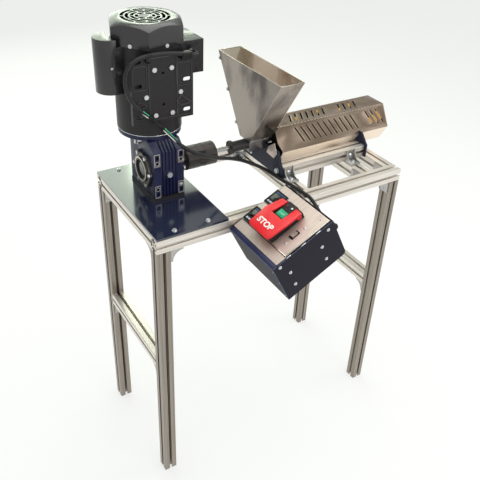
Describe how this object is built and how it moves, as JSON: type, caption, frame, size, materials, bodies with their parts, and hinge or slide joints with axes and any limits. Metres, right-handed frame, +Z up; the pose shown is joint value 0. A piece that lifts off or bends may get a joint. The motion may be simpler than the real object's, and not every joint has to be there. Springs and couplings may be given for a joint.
{
  "type": "screw extruder",
  "caption": "Motor driven single screw extruder with hopper, slotted heat hood and control box on a slotted aluminium table",
  "frame": {"origin": "middle of the footprint at floor level", "axes": "+X runs from the motor end to the nozzle end, +Y to the back, +Z up; the control box hangs on the -Y side"},
  "size_m": [0.904, 0.5924, 1.3426],
  "materials": {
    "aluminium_profile": "clear anodised extrusion, satin",
    "cast_brackets": "die cast, tumbled",
    "base_paint": "dark navy gloss paint",
    "block_paint": "dark paint",
    "gearbox_enamel": "deep blue enamel on a casting",
    "bare_casting": "machined casting",
    "zinc_fasteners": "zinc plated",
    "bearing_steel": "ground steel",
    "worm_bronze": "machined bronze",
    "motor_paint": "near black satin enamel",
    "copper_windings": "varnished windings and laminations",
    "black_nylon": "black nylon",
    "sintered_iron": "sintered iron",
    "spider_rubber": "nitrile rubber",
    "oxide_steel": "black oxide",
    "bright_steel": "turned steel",
    "sheet_steel": "mill finished sheet",
    "navy_paint": "navy powder coat",
    "heater_brass": "heat stained brass",
    "hood_sheet": "heat tinted sheet",
    "dark_paint": "near black powder coat",
    "panel_paint": "tan powder coat",
    "switch_grey": "moulded switch box",
    "red_plastic": "moulded red plastic",
    "green_plastic": "moulded green plastic",
    "cable_jacket": "black jacket",
    "relief_rubber": "moulded strain relief"
  },
  "bodies": {
    "machine": {"leg_front_left": "aluminium_profile", "leg_front_right": "aluminium_profile", "leg_back_left": "aluminium_profile", "leg_back_right": "aluminium_profile", "rail_front": "aluminium_profile", "rail_back": "aluminium_profile", "cross_rail_drive": "aluminium_profile", "cross_rail_feed": "aluminium_profile", "cross_rail_nozzle": "aluminium_profile", "cross_rail_end": "aluminium_profile", "leg_braces": "aluminium_profile", "barrel_rails": "aluminium_profile", "corner_brackets": "cast_brackets", "bracket_bolts": "zinc_fasteners", "drive_plate": "base_paint", "plate_bolts": "zinc_fasteners", "gearbox_block": "block_paint", "gearbox_housing": "gearbox_enamel", "gearbox_covers": "bare_casting", "gearbox_bolts": "zinc_fasteners", "gearbox_bearings": "bearing_steel", "input_flange": "gearbox_enamel", "motor_shell": "motor_paint", "motor_stator": "copper_windings", "motor_end_bell": "motor_paint", "fan_cover": "motor_paint", "foot_plate": "motor_paint", "motor_bolts": "zinc_fasteners", "capacitor_cover": "motor_paint", "conduit_box": "motor_paint", "conduit_lid": "motor_paint", "bearing_tube": "oxide_steel", "barrel": "bright_steel", "feed_throat": "bright_steel", "hopper": "sheet_steel", "feed_plate": "navy_paint", "nozzle_plate": "navy_paint", "heater_bands": "heater_brass", "nozzle": "bright_steel", "heat_hood": "hood_sheet", "control_box": "dark_paint", "control_sides": "navy_paint", "control_screws": "zinc_fasteners", "control_panel": "panel_paint", "controllers": "black_nylon", "switch_base": "switch_grey", "cable_fittings": "relief_rubber", "power_cable": "cable_jacket"},
    "spindle": {"motor_rotor": "bearing_steel", "motor_fan": "black_nylon", "worm": "bearing_steel"},
    "screw_line": {"worm_wheel": "worm_bronze", "output_shaft": "bearing_steel", "hub_drive": "sintered_iron", "hub_spider": "spider_rubber", "hub_screw": "sintered_iron", "extruder_screw": "bright_steel"},
    "paddle": {"stop_paddle": "red_plastic"},
    "button": {"start_button": "green_plastic"},
    "rocker": {"rocker_switch": "black_nylon"}
  },
  "joints": [
    {"name": "motor_spin", "type": "hinge", "parent": "machine", "child": "spindle", "pos_m": [-0.31595, 0.1802, 1.175], "axis": [0, 0, 1], "continuous": true},
    {"name": "screw_spin", "type": "hinge", "parent": "machine", "child": "screw_line", "pos_m": [-0.13195, 0.1302, 0.9609], "axis": [1, 0, 0], "continuous": true},
    {"name": "stop_press", "type": "hinge", "parent": "machine", "child": "paddle", "pos_m": [-0.10995, -0.1925, 0.93354], "axis": [0, 1, 0], "range_deg": [-4.3, 0], "stiffness_Nm_per_rad": 2},
    {"name": "start_press", "type": "slide", "parent": "machine", "child": "button", "axis": [-0.454, 0, 0.891], "range_m": [-0.003, 0], "stiffness_N_per_m": 400},
    {"name": "rocker_tilt", "type": "hinge", "parent": "machine", "child": "rocker", "pos_m": [-0.13977, -0.2534, 0.90705], "axis": [0, 1, 0], "range_deg": [-8, 8], "stiffness_Nm_per_rad": 0.05}
  ],
  "couplings": [
    {"joint": "screw_spin", "follows": "motor_spin", "ratio": -0.04}
  ]
}
